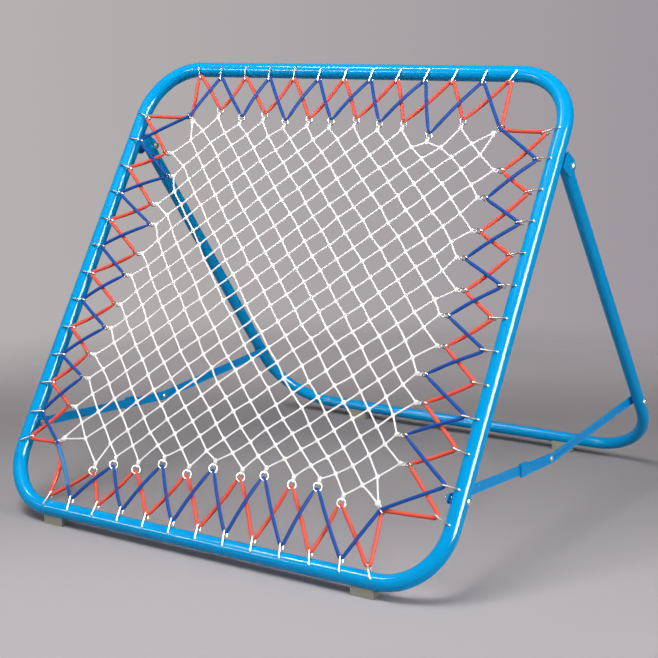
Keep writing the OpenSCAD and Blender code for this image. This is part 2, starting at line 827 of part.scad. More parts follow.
// The zigzag edge of one side, with a tab at each ring that the net is tied to
tab_reach = tie_len - ring_r - ring_wire / 2 - gap;
tab_half = 2.4;
edge_out = net_cord * 0.7;

function knot_on(side, step, deep) =
    side == 0 ? settled[deep][step] :
    side == 1 ? settled[step][last_knot - deep] :
    side == 2 ? settled[last_knot - deep][last_knot - step] :
    settled[last_knot - step][deep];

function side_edge(side) = [for (k = [0 : rings_per_side + 1])
    let (p = knot_on(side, 2 * k + 1, 0), e = outward(side), s = along(side))
    each concat(
        k == 0 || k > rings_per_side
            ? [p + edge_out * e]
            : [p + tab_reach * e - tab_half * s, p + tab_reach * e + tab_half * s],
        k <= rings_per_side ? [knot_on(side, 2 * k + 2, 1) + edge_out * e] : []
    )];

net_edge = [for (side = [0 : 3]) each side_edge(side)];

// One mesh opening: the four knots round it, drawn in by half a cord's thickness
mesh_width = ring_pitch / sqrt(2);
open_share = 1 - net_cord / mesh_width;
function mesh_hole(i, j) =
    let (
        q = [settled[j - 1][i], settled[j][i + 1], settled[j + 1][i], settled[j][i - 1]],
        mid = (q[0] + q[1] + q[2] + q[3]) / 4
    )
    [for (p = q) mid + open_share * (p - mid)];

mesh_holes = [for (j = [1 : last_knot - 1], i = [1 : last_knot - 1])
    if (!has_knot(i, j)) mesh_hole(i, j)];
edge_count = len(net_edge);

net_paths = concat(
    [[for (i = [0 : edge_count - 1]) i]],
    [for (h = [0 : len(mesh_holes) - 1]) [for (c = [0 : 3]) edge_count + 4 * h + c]]
);

module rebound_net() {
    color("#f2f0ee") in_frame() translate([0, 0, cord_n - net_cord / 2])
        linear_extrude(net_cord, convexity = 10)
            polygon(points = concat(net_edge, [for (h = mesh_holes) each h]), paths = net_paths);
}

front_frame();
left_hinge_bracket();
right_hinge_bracket();
hinge_bolts();
hinge_nuts();
hinge_washers();
front_stay_bolts();
front_stay_nuts();
front_stay_spacers();
top_hooks();
right_hooks();
bottom_hooks();
left_hooks();
top_rings();
right_rings();
bottom_rings();
left_rings();
corner_rings();
red_bungee();
blue_bungee();
red_cord_sleeve();
blue_cord_sleeve();
rebound_net();
front_feet();
front_foot_screws();
rear_leg();
rear_feet();
rear_foot_screws();
rear_stay_bolts();
rear_stay_spacers();
left_front_stay();
left_mid_rivet();
left_rear_stay();
left_rear_stay_nut();
right_front_stay();
right_mid_rivet();
right_rear_stay();
right_rear_stay_nut();
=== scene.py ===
"""Folding rebound frame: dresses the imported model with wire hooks, elastic cords, a knotted net,
finishes and a plain studio. Lengths are in metres."""

import math
import random

import bpy
from bpy.props import FloatProperty, FloatVectorProperty, IntProperty, PointerProperty
from bpy.types import Operator, Panel, PropertyGroup
from mathutils import Matrix, Vector


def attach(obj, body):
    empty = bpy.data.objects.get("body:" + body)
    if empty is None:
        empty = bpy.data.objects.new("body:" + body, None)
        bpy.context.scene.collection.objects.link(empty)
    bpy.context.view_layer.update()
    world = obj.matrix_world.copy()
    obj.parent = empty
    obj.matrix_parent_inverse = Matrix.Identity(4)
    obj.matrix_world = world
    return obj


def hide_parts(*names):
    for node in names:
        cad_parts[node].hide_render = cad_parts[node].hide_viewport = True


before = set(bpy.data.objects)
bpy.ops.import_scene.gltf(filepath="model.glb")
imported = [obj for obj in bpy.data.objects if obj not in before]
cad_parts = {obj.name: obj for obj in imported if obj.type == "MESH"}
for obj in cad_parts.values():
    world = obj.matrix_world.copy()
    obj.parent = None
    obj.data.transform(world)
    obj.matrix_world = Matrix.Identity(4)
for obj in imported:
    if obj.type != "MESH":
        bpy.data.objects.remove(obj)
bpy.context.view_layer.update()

bl_info = {
    "name": "Folding Rebound Frame",
    "version": (1, 0, 0),
    "blender": (4, 5, 0),
    "location": "3D View > Sidebar > Rebound",
    "description": "Hooks, cords, net, finishes and studio for a folding rebound frame",
    "category": "Object",
}

FRAME_BODY = "frame"
OUT_OF_FACE = (0, 0, 1)  # the frame plane's own normal


def linear(hex_colour):
    """An sRGB hex colour as linear red, green, blue and a full alpha."""
    parts = [int(hex_colour[i : i + 2], 16) / 255 for i in (1, 3, 5)]
    return (*[c / 12.92 if c <= 0.04045 else ((c + 0.055) / 1.055) ** 2.4 for c in parts], 1.0)


# ---- Sizes and colours that a user would change ----


def number(label, default, text, **options):
    return FloatProperty(name=label, description=text, default=default, **options)


def length(label, default, text):
    return number(label, default, text, subtype="DISTANCE", precision=5)


def turn(label, degrees, text):
    return number(label, math.radians(degrees), text, subtype="ANGLE")


def whole(label, default, text):
    return IntProperty(name=label, description=text, default=default)


def several(label, values, text, **options):
    return FloatVectorProperty(
        name=label, description=text, default=values, size=len(values), **options
    )


def four(label, values, text, unit="LENGTH"):
    """One value for each side or corner of the frame."""
    return several(label, values, text, unit=unit, precision=4)


def paint(label, hex_colour, text):
    return several(label, linear(hex_colour), text, subtype="COLOR", min=0, max=1)


class FrameShape(PropertyGroup):
    """Main sizes of the tube frame, as in the part's source."""

    size: length("Frame size", 1.0, "Outer width and height of the square tube frame")
    tube: length("Tube", 0.030, "Outside diameter of the frame tube")
    tilt: turn("Tilt", 57.5, "Lean of the frame, measured up from the floor")
    axis_height: length("Axis height", 0.029, "Height of both bottom tubes' axes")
    stance: length("Stance", 0.970, "Distance on the floor between the two bottom tubes")
    leg_tube: length("Leg tube", 0.025, "Outside diameter of the leg tube")
    blue: paint("Tube blue", "#0095D4", "Enamel on the tubes")
    bar_blue: paint("Bar blue", "#008ED4", "Enamel on the flat bars")


class HookShape(PropertyGroup):
    """The 52 wire hooks."""

    per_side: whole("Hooks a side", 13, "Number of hooks on each side")
    pitch: length("Pitch", 0.0617, "Spacing of the hooks along each side")
    wire: length("Wire", 0.003, "Thickness of the hooks' wire")
    reach: four("Reach", (0.031, 0.036, 0.031, 0.031), "How far each side's hooks reach inwards")
    curl: length("Curl", 0.0053, "Radius of the curl round the cord")
    tip: four("Tip", (0.005, 0.007, 0.007, 0.003), "Straight wire past the curl, on each side")
    lean: four("Lean", (-3, -1, 3, 0), "Turn from the pull on each side, in degrees", "NONE")
    colour: paint("Wire", "#BEBCB7", "Galvanised wire")


class RingShape(PropertyGroup):
    """The steel rings between the cords and the net."""

    radius: length("Radius", 0.00775, "Centreline radius of a ring")
    wire: length("Wire", 0.002, "Thickness of the rings' wire")
    pitch: length("Pitch", 0.056, "Spacing of the rings along a side")
    stagger: length("Stagger", 0.006, "How far the two cords' rings stand apart")
    turns: four("Turn", (-14, -10, 38, 10), "Turn of each side's rings, in degrees", "NONE")
    top: four("Top", (0.368, -0.004, 0.002, 0.0), "Distance, slant, bow and shift of the top rings")
    right: four("Right", (0.366, -0.012, -0.002, 0.006), "The same for the right rings")
    bottom: four("Bottom", (0.350, 0.020, 0.022, 0.012), "The same for the bottom rings")
    left: four("Left", (0.352, -0.015, 0.020, -0.002), "The same for the left rings")
    corner_across: four(
        "Corners across", (0.368, 0.352, -0.392, -0.350), "Corner rings, clockwise from top right"
    )
    corner_up: four("Corners up", (0.365, -0.367, -0.359, 0.368), "The same, up from the middle")
    colour: paint("Ring steel", "#A9A7A1", "Nickel-plated steel")


class CordShape(PropertyGroup):
    """The two elastic cords and their joint sleeves."""

    red_thick: length("Red thickness", 0.0073, "Thickness of the red cord")
    blue_thick: length("Blue thickness", 0.0066, "Thickness of the blue cord")
    room: length("Room", 0.0002, "Room between a cord and the wire that it turns round")
    squeeze: number("Squeeze", 0.62, "Share of a cord's thickness left at a ring")
    askew_room: length("Askew room", 0.0010, "More room at a ring, by the sine of its turn")
    lift: length("Crossing lift", 0.0034, "Half the height between the cords where they cross")
    red: paint("Red", "#E4523F", "Red cord's sheath")
    blue: paint("Blue", "#06469C", "Blue cord's sheath")
    red_sleeve: paint("Red sleeve", "#F4604A", "Sleeve on the red cord's joint")
    blue_sleeve: paint("Blue sleeve", "#2F7BB0", "Sleeve on the blue cord's joint")
    red_kink: length("Red kink", 0.013, "How far the red cord is pushed aside at its joint")
    blue_kink: length("Blue kink", 0.0035, "How far the blue cord is pushed aside at its joint")
    red_kink_at: number("Red kink's place", 0.53, "Share along the red cord's joint")
    blue_kink_at: number("Blue kink's place", 0.57, "Share along the blue cord's joint")


class NetShape(PropertyGroup):
    """The knotted net."""

    meshes: whole("Meshes", 13, "Meshes along one side of the net")
    cord: length("Cord", 0.0032, "Thickness of the net's cord")
    tie: length("Tie", 0.015, "From a ring's middle to the net's outer knot")
    knot: length("Knot", 0.0042, "Half width of a knot")
    slack: length("Slack", 0.0018, "How far a knot may lie off its even place")
    colour: paint("Net cord", "#F4F2F0", "White twisted cord")


class StudioLook(PropertyGroup):
    """Camera, paper sweep and lamps."""

    camera: several("Camera", (1.6081, -2.4979, 0.9500), "Camera's place", subtype="TRANSLATION")
    around: turn("Around", 33.3177, "Camera's direction, turned from straight ahead")
    down: turn("Down", 11.7021, "How far the camera looks down")
    roll: turn("Roll", -0.5241, "Camera's roll")
    lens: number("Lens", 81.925, "Focal length on a 36 mm sensor, in mm")
    # The paper tones are painted light and shade on a flat floor: lighter nearest the camera and far
    # off, with a painted shade band between.
    paper_front: paint("Paper front", "#A5A1A4", "Paper nearest the camera")
    paper_middle: paint("Paper middle", "#949092", "Paper under the object")
    # Painted shade: a darker band on the flat floor where a paper sweep would turn up.
    paper_painted_shade: paint("Paper turn", "#8A8688", "Paper where it starts to turn up")
    # Painted light: the far floor is painted lighter, as a lit wall would look.
    paper_back: paint("Paper back", "#A8A3A5", "Paper that has turned up")
    # Painted shade: a darker band in the backdrop where a paper sweep would turn up.
    horizon_painted_shade: paint("Horizon", "#928D91", "Backdrop where the paper turns up")
    # Painted light: the backdrop is painted lighter on the left than on the right.
    paper_left: paint("Backdrop left", "#B6B1B0", "Backdrop on the left")
    paper_right: paint("Backdrop right", "#9E989E", "Backdrop on the right")


def settings():
    return bpy.context.scene.rebound


class ReboundSettings(PropertyGroup):
    """Everything that the panel shows."""

    shape: PointerProperty(type=FrameShape)
    hooks: PointerProperty(type=HookShape)
    rings: PointerProperty(type=RingShape)
    cords: PointerProperty(type=CordShape)
    net: PointerProperty(type=NetShape)
    studio: PointerProperty(type=StudioLook)


# ---- Layout in the frame's own plane: u across, v up from the middle, n out of the face ----

TOP, RIGHT, BOTTOM, LEFT = range(4)
ALL_SIDES = (TOP, RIGHT, BOTTOM, LEFT)


def half():
    """From the middle of the frame to a tube's axis."""
    shape = settings().shape
    return (shape.size - shape.tube) / 2


def in_frame():
    """Turns the frame's plane into place."""
    shape = settings().shape
    front = -(shape.stance + shape.leg_tube / 2 - shape.tube / 2) / 2
    stand = Matrix.Translation((0, front, shape.axis_height))
    return stand @ Matrix.Rotation(shape.tilt, 4, "X") @ Matrix.Translation((0, half(), 0))


def outward(side):
    return Vector(((0, 1), (1, 0), (0, -1), (-1, 0))[side])


def along(side):
    """Clockwise along a side."""
    return Vector(((1, 0), (0, -1), (-1, 0), (0, 1))[side])


def left_of(d):
    return Vector((-d.y, d.x))


def turned(p, degrees):
    c = math.cos(math.radians(degrees))
    s = math.sin(math.radians(degrees))
    return Vector((p.x * c - p.y * s, p.x * s + p.y * c))


def cord_height():
    """Height of the cords, rings and net over the tube's axis."""
    return hook_height() - settings().hooks.curl


HOOK_OVER_TUBE = 0.0002  # gap between a hook's wire and the tube's face


def hook_height():
    """Height of a hook's wire over the tube's axis."""
    return settings().shape.tube / 2 + settings().hooks.wire / 2 + HOOK_OVER_TUBE


def hook_hole(side, k):
    hooks = settings().hooks
    return half() * outward(side) + (k - (hooks.per_side + 1) / 2) * hooks.pitch * along(side)


def rings_per_side():
    return settings().hooks.per_side - 2


# No two rings of a hand-strung net hang alike. Each side's rings, off their even places in mm:
# outwards, and then along the side.
RINGS_OUT = (
    (3, 2, 0, -1, -5, 6, 0, 6, -3, -14, 6),
    (10, 8, 5, 5, 13, 9, 11, 3, 8, 4, 18),
    (10, 6, 1, 7, 4, 7, 10, 6, 5, 6, 2),
    (2, 16, 19, 20, 10, 27, 8, 12, 14, 7, 15),
)
RINGS_ASIDE = (
    (2, 5, 4, 3, 2, -2, -2, -3, -6, 0, 6),
    (-6, -6, 3, 1, 6, 0, 1, 0, -4, 1, -5),
    (-3, -3, -6, 0, -7, 1, -2, 4, 4, 4, -9),
    (0, 5, -1, 2, -2, 6, -1, 9, -2, 7, 3),
)


def ring_mid(side, k):
    rings = settings().rings
    far, slant, bow, shift = (rings.top, rings.right, rings.bottom, rings.left)[side]
    count = rings_per_side()
    t = (2 * k - count - 1) / (count - 1)
    stagger = rings.stagger if k % 2 else -rings.stagger
    reach = far + slant * t + bow * t * t + stagger + RINGS_OUT[side][k - 1] / 1000
    place = shift + rings.pitch * (k - (count + 1) / 2) + RINGS_ASIDE[side][k - 1] / 1000
    return reach * outward(side) + place * along(side)


def corner_ring(corner):
    rings = settings().rings
    return Vector((rings.corner_across[corner], rings.corner_up[corner]))


def ring_at(side, k):
    """Ring k of a side; before the first and after the last one come the corner rings."""
    if k < 1:
        return corner_ring((side + 3) % 4)
    return corner_ring(side) if k > rings_per_side() else ring_mid(side, k)


def hook_dir(side, k):
    """A hook points at the middle between its cord's two rings, give or take its lean."""
    pull = (ring_at(side, k - 2) + ring_at(side, k)) / 2 - hook_hole(side, k)
    return turned(pull.normalized(), settings().hooks.lean[side])


def hook_bow(side, k):
    return hook_hole(side, k) + settings().hooks.reach[side] * hook_dir(side, k)


# ---- Round wires and cords swept along points ----

# Sides of the swept tubes, finer where they are thick or seen from near
HOOK_SIDES, CORD_SIDES, SLEEVE_SIDES, STRAND_SIDES, KNOT_SIDES = 10, 14, 16, 8, 6
SMOOTH_UNDER = 50  # degrees between faces that are shaded as one


def arc(centre, radius, start, sweep, steps):
    """Points of an arc in a plane, angles in degrees."""
    angles = [math.radians(start + sweep * i / steps) for i in range(steps + 1)]
    x, y = centre
    return [Vector((x + radius * math.cos(a), y + radius * math.sin(a))) for a in angles]


class Sweep:
    """Collects swept tubes in one mesh, whose UV map runs along them in metres and once round."""

    def __init__(self, sides):
        self.sides = sides
        self.points = []
        self.faces = []
        self.uvs = []

    def rings(self, path, radius, up, closed):
        """Adds a tube's rings of points; returns the first one's index and the run at each ring."""
        count = len(path)
        radii = radius if isinstance(radius, (list, tuple)) else [radius] * count
        base = len(self.points)
        run = [0.0]
        for i in range(count):
            before = path[i] - path[i - 1] if i or closed else path[1] - path[0]
            after = path[(i + 1) % count] - path[i] if i < count - 1 or closed else before
            tangent = (before.normalized() + after.normalized()).normalized()
            b = Vector(up).cross(tangent).normalized()
            a = b.cross(tangent)
            run.append(run[-1] + after.length)
            for j in range(self.sides):
                angle = 2 * math.pi * j / self.sides
                self.points.append(path[i] + radii[i] * (math.cos(angle) * a + math.sin(angle) * b))
        return base, run

    def band(self, ring, after_ring, run, after_run):
        """Joins two rings of points with faces, clockwise ring to ring."""
        for j in range(self.sides):
            k = (j + 1) % self.sides
            self.faces.append((ring + j, ring + k, after_ring + k, after_ring + j))
            v0, v1 = j / self.sides, (j + 1) / self.sides
            self.uvs += [(run, v0), (run, v1), (after_run, v1), (after_run, v0)]

    def tube(self, path, radius, up, closed=False, bore=0.0):
        """Adds a tube along a path; the radius is a number or a list, a bore makes it hollow."""
        count = len(path)
        base, run = self.rings(path, radius, up, closed)
        for i in range(count if closed else count - 1):
            after = base + ((i + 1) % count) * self.sides
            self.band(base + i * self.sides, after, run[i], run[i + 1])
        last = base + (count - 1) * self.sides
        if bore:
            inner = self.rings(path, bore, up, False)[0]
            inner_last = inner + (count - 1) * self.sides
            for i in range(count - 1):
                self.band(inner + (i + 1) * self.sides, inner + i * self.sides, run[i + 1], run[i])
            self.band(inner, base, run[0], run[0])
            self.band(last, inner_last, run[count - 1], run[count - 1])
        elif not closed:
            self.faces.append(tuple(base + j for j in reversed(range(self.sides))))
            self.faces.append(tuple(last + j for j in range(self.sides)))
            self.uvs += [(0.0, 0.0)] * self.sides + [(run[count - 1], 0.0)] * self.sides

    def finish(self, name, place):
        """The swept tubes as one smooth object, put in place by a matrix."""
        mesh = bpy.data.meshes.new(name)
        mesh.from_pydata([place @ p for p in self.points], [], self.faces)
        layer = mesh.uv_layers.new(name="along")
        layer.data.foreach_set("uv", [c for uv in self.uvs for c in uv])
        piece = bpy.data.objects.new(name, mesh)
        bpy.context.scene.collection.objects.link(piece)
        mesh.update()
        select_only(piece)
        bpy.ops.object.shade_smooth_by_angle(angle=math.radians(SMOOTH_UNDER))
        return piece


def select_only(piece):
    bpy.ops.object.select_all(action="DESELECT")
    piece.select_set(True)
    bpy.context.view_layer.objects.active = piece


def flat(p, n):
    """A point of the frame's plane at height n."""
    return Vector((p.x, p.y, n))


# ---- Materials ----


def add(tree, kind, inputs=None, **options):
    """Adds a shader node, sets its options, and sets or links its inputs."""
    made = tree.nodes.new(kind)
    for name, value in options.items():
        setattr(made, name, value)
    for socket, value in (inputs or {}).items():
        if isinstance(value, bpy.types.NodeSocket):
            tree.links.new(value, made.inputs[socket])
        else:
            made.inputs[socket].default_value = value
    return made


def surface(name, build):
    """A material whose Principled shader is set by build(tree), which returns its inputs."""
    made = bpy.data.materials.new(name)
    made.use_nodes = True
    tree = made.node_tree
    tree.nodes.clear()
    shader = add(tree, "ShaderNodeBsdfPrincipled", build(tree))
    add(tree, "ShaderNodeOutputMaterial", {"Surface": shader.outputs[0]})
    return made


def maths(tree, operation, *values):
    return add(tree, "ShaderNodeMath", dict(enumerate(values)), operation=operation).outputs[0]


def along_axis(tree, vector, axis):
    """How far a vector reaches along an axis."""
    made = add(tree, "ShaderNodeVectorMath", {0: vector, 1: tuple(axis)}, operation="DOT_PRODUCT")
    return made.outputs["Value"]


def noise(tree, vector, millimetres, detail=2.0):
    """Noise whose lumps are about so many millimetres wide."""
    inputs = {"Vector": vector, "Scale": 1000 / millimetres, "Detail": detail}
    return add(tree, "ShaderNodeTexNoise", inputs).outputs["Fac"]


def ranged(tree, value, low, high, start=0.0, end=1.0, smooth=False):
    """Maps a value from start..end to low..high, in a straight line or a smooth step."""
    made = add(
        tree,
        "ShaderNodeMapRange",
        {"Value": value, "From Min": start, "From Max": end, "To Min": low, "To Max": high},
        interpolation_type="SMOOTHSTEP" if smooth else "LINEAR",
    )
    return made.outputs["Result"]


def blended(tree, factor, first, second):
    """Mixes two colours."""
    made = add(tree, "ShaderNodeMix", {0: factor, 6: first, 7: second}, data_type="RGBA")
    return made.outputs[2]


def shade_of(colour, share):
    """A colour made lighter or darker by a share."""
    return (*[min(1.0, c * share) for c in colour[:3]], 1.0)


def bump(tree, height, millimetres, strength=1.0):
    inputs = {"Height": height, "Distance": millimetres / 1000, "Strength": strength}
    return add(tree, "ShaderNodeBump", inputs).outputs["Normal"]


def object_coords(tree):
    return add(tree, "ShaderNodeTexCoord").outputs["Object"]


def enamel(name, colour, gloss):
    """Stoved enamel sprayed on steel: a deep even colour under a glossy, slightly dusty skin."""

    def build(tree):
        place = object_coords(tree)
        tone = ranged(tree, noise(tree, place, 180), 0.35, 0.65, start=0.3, end=0.7)
        dust = ranged(tree, noise(tree, place, 14, detail=6.0), 0.0, 0.05, start=0.55, end=0.75)
        return {
            "Base Color": blended(tree, tone, shade_of(colour, 0.94), shade_of(colour, 1.06)),
            "Roughness": maths(tree, "ADD", dust, gloss),
            "Specular IOR Level": 0.15,
        }

    return surface(name, build)


def plated_metal(name, colour, rough, grain):
    """Plated steel: a metal mirror broken up by a fine grain, duller in patches."""

    def build(tree):
        place = object_coords(tree)
        patches = noise(tree, place, grain * 6, detail=3.0)
        return {
            "Base Color": blended(tree, patches, shade_of(colour, 0.94), colour),
            "Metallic": 1.0,
            "Roughness": ranged(tree, patches, rough - 0.05, rough + 0.07, start=0.3, end=0.7),
            "Normal": bump(tree, noise(tree, place, grain), 0.01, strength=0.2),
        }

    return surface(name, build)


def wave(tree, phase):
    """Sine of a phase that is counted in whole turns."""
    return maths(tree, "SINE", maths(tree, "MULTIPLY", phase, 2 * math.pi))


def thread_phase(tree, step, threads):
    """Phase of threads that wind round a cord, each a step along it from the next, in metres."""
    swept = add(tree, "ShaderNodeUVMap", uv_map="along").outputs[0]
    run, round_it = add(tree, "ShaderNodeSeparateXYZ", {0: swept}).outputs[:2]
    return maths(tree, "MULTIPLY_ADD", round_it, threads, maths(tree, "MULTIPLY", run, 1 / step))


def braided(name, colour, step, threads):
    """Elastic cord's braided sheath: two families of threads that cross, with shade painted darker
    between them.
    """

    def build(tree):
        one = wave(tree, thread_phase(tree, step, threads))
        other = wave(tree, thread_phase(tree, step, -threads))
        weave = maths(tree, "MULTIPLY", one, other)
        drift = noise(tree, object_coords(tree), 40)
        tone = blended(tree, drift, shade_of(colour, 0.92), shade_of(colour, 1.08))
        # Painted shade: the colour is darkened between the threads, where their gaps fall in shade.
        painted_gap_shade = ranged(tree, weave, 0.0, 0.18, start=1.0, end=-1.0)
        return {
            "Base Color": blended(tree, painted_gap_shade, tone, shade_of(colour, 0.6)),
            "Roughness": 0.55,
            "Specular IOR Level": 0.12,
            "Sheen Weight": 0.05,
            "Normal": bump(tree, weave, 0.08, strength=0.4),
        }

    return surface(name, build)


def twisted(name, colour, step, strands):
    """Net cord: twisted from a few strands, matt and slightly fluffy, with shade painted darker
    between them.
    """

    def build(tree):
        lay = wave(tree, thread_phase(tree, step, strands))
        fluff = noise(tree, object_coords(tree), 0.8, detail=4.0)
        height = maths(tree, "MULTIPLY_ADD", fluff, 0.3, lay)
        # Painted shade: the colour is darkened in the grooves between the strands.
        painted_gap_shade = ranged(tree, lay, 0.25, 0.0, start=-1.0, end=0.2)
        return {
            "Base Color": blended(tree, painted_gap_shade, colour, shade_of(colour, 0.9)),
            "Roughness": 0.8,
            "Specular IOR Level": 0.1,
            "Sheen Weight": 0.1,
            "Normal": bump(tree, height, 0.06, strength=0.3),
        }

    return surface(name, build)


def moulded(name, colour, rough, grain):
    """Moulded plastic or rubber: a dull skin with a fine mould grain and a little mottling."""

    def build(tree):
        place = object_coords(tree)
        mottled = noise(tree, place, 9, detail=4.0)
        return {
            "Base Color": blended(tree, mottled, shade_of(colour, 0.88), shade_of(colour, 1.1)),
            "Roughness": ranged(tree, noise(tree, place, grain * 4), rough - 0.06, rough + 0.06),
            "Specular IOR Level": 0.2,
            "Normal": bump(tree, noise(tree, place, grain, detail=3.0), 0.08, strength=0.5),
        }

    return surface(name, build)


# ---- Pieces ----


def dress(nodes, material):
    """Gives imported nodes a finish."""
    for name in nodes:
        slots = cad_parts[name].data.materials
        slots.clear()
        slots.append(material)


def stand_for(piece, material, slot, *nodes):
    """Finishes a new piece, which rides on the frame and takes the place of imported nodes."""
    piece.data.materials.clear()
    piece.data.materials.append(material)
    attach(piece, FRAME_BODY)
    if nodes:
        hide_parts(*nodes)


SIDE_NAMES = ("top", "right", "bottom", "left")

# A hook: the tube's wall, the room between it and the tail, the bends' radius, where the tail ends
# as shares of the bore, and where and how far the wire bows over the tube
TUBE_WALL = 0.0015
TAIL_ROOM = 0.0018
HOOK_BEND = 0.0025
TAIL_END = (-0.63, 0.56)
SHANK_MIDDLE = 0.45
SHANK_BOW = 0.0003


class REBOUND_OT_hooks(Operator):
    """Bent wire hooks: through the tube, over its face and curled round the cord"""

    bl_idname = "rebound.hooks"
    bl_label = "Add wire hooks"

    def hook_line(self, side):
        """Centreline of a hook: inwards from its hole, and out of the face."""
        hooks = settings().hooks
        reach = hooks.reach[side]
        top = hook_height()
        bore = settings().shape.tube / 2 - TUBE_WALL
        tail = bore - hooks.wire / 2 - TAIL_ROOM
        curl = Vector((reach - hooks.curl, cord_height()))
        line = [bore * Vector(TAIL_END)]
        line += arc((-HOOK_BEND, tail + HOOK_BEND), HOOK_BEND, 270, 90, 3)
        line += arc((HOOK_BEND, top - HOOK_BEND), HOOK_BEND, 180, -90, 5)
        line += [Vector((reach * SHANK_MIDDLE, top + SHANK_BOW))]
        line += arc(curl, hooks.curl, 90, -180, 10)
        return line + [curl + Vector((-hooks.tip[side], -hooks.curl))]

    def execute(self, context):
        hooks = settings().hooks
        wire = plated_metal("galvanised_wire", hooks.colour, rough=0.3, grain=2.5)
        for side in ALL_SIDES:
            swept = Sweep(HOOK_SIDES)
            for k in range(1, hooks.per_side + 1):
                base, d = hook_hole(side, k), hook_dir(side, k)
                path = [flat(base + q.x * d, q.y) for q in self.hook_line(side)]
                swept.tube(path, hooks.wire / 2, (d.y, -d.x, 0))
            piece = swept.finish(f"{SIDE_NAMES[side]}_wire_hooks", in_frame())
            stand_for(piece, wire, "galvanised_wire", f"{SIDE_NAMES[side]}_hooks")
        return {"FINISHED"}


# Cords: how far outwards a turn's middle lies in a corner ring, its wrap as a share of the
# thickness, how far the two cords press together there, the degrees between two points of a turn,
# and the share of a crossing's lift that is left beside a corner
CORNER_PULL = 0.0009
CORNER_WRAP = 0.15
LAP_PRESS = 0.0001
TURN_STEP = 24
CORNER_LIFT = 0.35

# Points of a plain stretch and of the joint's, and how round the kink in the joint is
PLAIN_POINTS, JOINT_POINTS = 7, 24
KINK_ROUND = 0.12

# Joint sleeves: shares along the joint and the radii there, thick over the doubled end of the cord
SLEEVE_ROOM = 0.0001
SLEEVE_SPANS = {
    "red": (
        *((0.10, 0.0044), (0.12, 0.0047), (0.30, 0.0047), (0.46, 0.0047), (0.50, 0.0052)),
        *((0.54, 0.0052), (0.58, 0.0045), (0.64, 0.0041), (0.80, 0.0041), (0.97, 0.0041)),
    ),
    "blue": (
        *((0.17, 0.0037), (0.19, 0.0038), (0.35, 0.0040), (0.48, 0.0044), (0.51, 0.0050)),
        *((0.57, 0.0051), (0.60, 0.0046), (0.70, 0.0045), (0.85, 0.0043), (0.97, 0.0041)),
    ),
}


def cord_turns(first, thick):
    """One cord's turns, clockwise from the top left: middle, wrap and which way each turns."""
    cords, hooks, rings = settings().cords, settings().hooks, settings().rings
    hook_wrap = thick / 2 + hooks.wire / 2 + cords.room
    turns = []
    for side in ALL_SIDES:
        last = hooks.per_side + 1 - first
        askew = math.radians(abs(rings.turns[side]))
        ring_wrap = cords.squeeze * thick / 2 + rings.wire / 2 + cords.room
        ring_wrap = ring_wrap / math.cos(askew) + cords.askew_room * math.sin(askew)
        for k in range(first, last + 1, 2):
            turns.append((hook_bow(side, k), hook_wrap, 1))
            if k < last:
                turns.append((ring_mid(side, k) + rings.radius * outward(side), ring_wrap, -1))
        p = corner_ring(side)
        turns.append((p + CORNER_PULL * p.normalized(), CORNER_PULL + thick * CORNER_WRAP, -1))
    return turns


def tangent_points(a, ra, sa, b, rb, sb):
    """Where a cord leaves the circle at a and meets the one at b; sa and sb are its turning."""
    d = b - a
    swing = math.asin(max(-1.0, min(1.0, (sa * ra - sb * rb) / d.length)))
    u = d.normalized()
    side = math.cos(swing) * left_of(u) + math.sin(swing) * u
    return a + sa * ra * side, b + sb * rb * side


class Cord:
    """One elastic cord's closed centreline, with the stretch on which its ends are joined."""

    def __init__(self, first, thick, lift, kink, kink_at):
        self.thick = thick
        self.lift = lift
        self.lap = math.copysign(settings().cords.blue_thick / 2 - LAP_PRESS, lift)
        self.kink = kink
        self.kink_at = kink_at
        self.turns = cord_turns(first, thick)
        self.quarter = len(self.turns) // 4
        # Joined between the last bottom hook and the lower left corner
        self.joined = 3 * self.quarter - 2
        self.path = []
        self.radii = []
        self.joint = []
        self.lay()

    def in_corner(self, index):
        return index % self.quarter == self.quarter - 1

    def rest(self, index):
        """Height of a turn: the two cords lie on each other in the corner rings."""
        return cord_height() + (self.lap if self.in_corner(index) else 0)

    def thickness(self, index):
        """A cord is pulled thin where it turns round a ring's wire."""
        at_ring = self.turns[index][2] < 0 and not self.in_corner(index)
        return self.thick * (settings().cords.squeeze if at_ring else 1.0)

    def lay(self):
        """Lays the cord round each turn and straight to the next."""
        count = len(self.turns)
        legs = [tangent_points(*self.turns[i], *self.turns[(i + 1) % count]) for i in range(count)]
        for i in range(count):
            centre = self.turns[i][0]
            arrive, leave = legs[i - 1][1] - centre, legs[i][0] - centre
            bent = math.degrees(arrive.angle_signed(leave))
            steps = max(1, round(abs(bent) / TURN_STEP))
            for s in range(steps + 1):
                self.path.append(flat(centre + turned(arrive, -bent * s / steps), self.rest(i)))
                self.radii.append(self.thickness(i) / 2)
            stretch = self.stretch(*legs[i], i, count)
            if i == self.joined:
                self.joint = stretch
            self.path += stretch
            self.radii += [self.thick / 2] * len(stretch)

    def stretch(self, start, end, index, count):
        """A straight stretch, lifted where it crosses the other cord and kinked at the joint."""
        low, high = self.rest(index), self.rest((index + 1) % count)
        lift = self.lift * (1 if low == high else CORNER_LIFT)
        joined = index == self.joined
        points = JOINT_POINTS if joined else PLAIN_POINTS
        aside = left_of((end - start).normalized())
        line = []
        for s in range(1, points + 1):
            t = s / (points + 1)
            push = 0.0
            if joined:
                near = min(t / self.kink_at, (1 - t) / (1 - self.kink_at))
                push = -self.kink * near * (1 - KINK_ROUND * near * near)
            spot = start.lerp(end, t) + push * aside
            line.append(flat(spot, low + (high - low) * t + lift * math.sin(math.pi * t)))
        return line


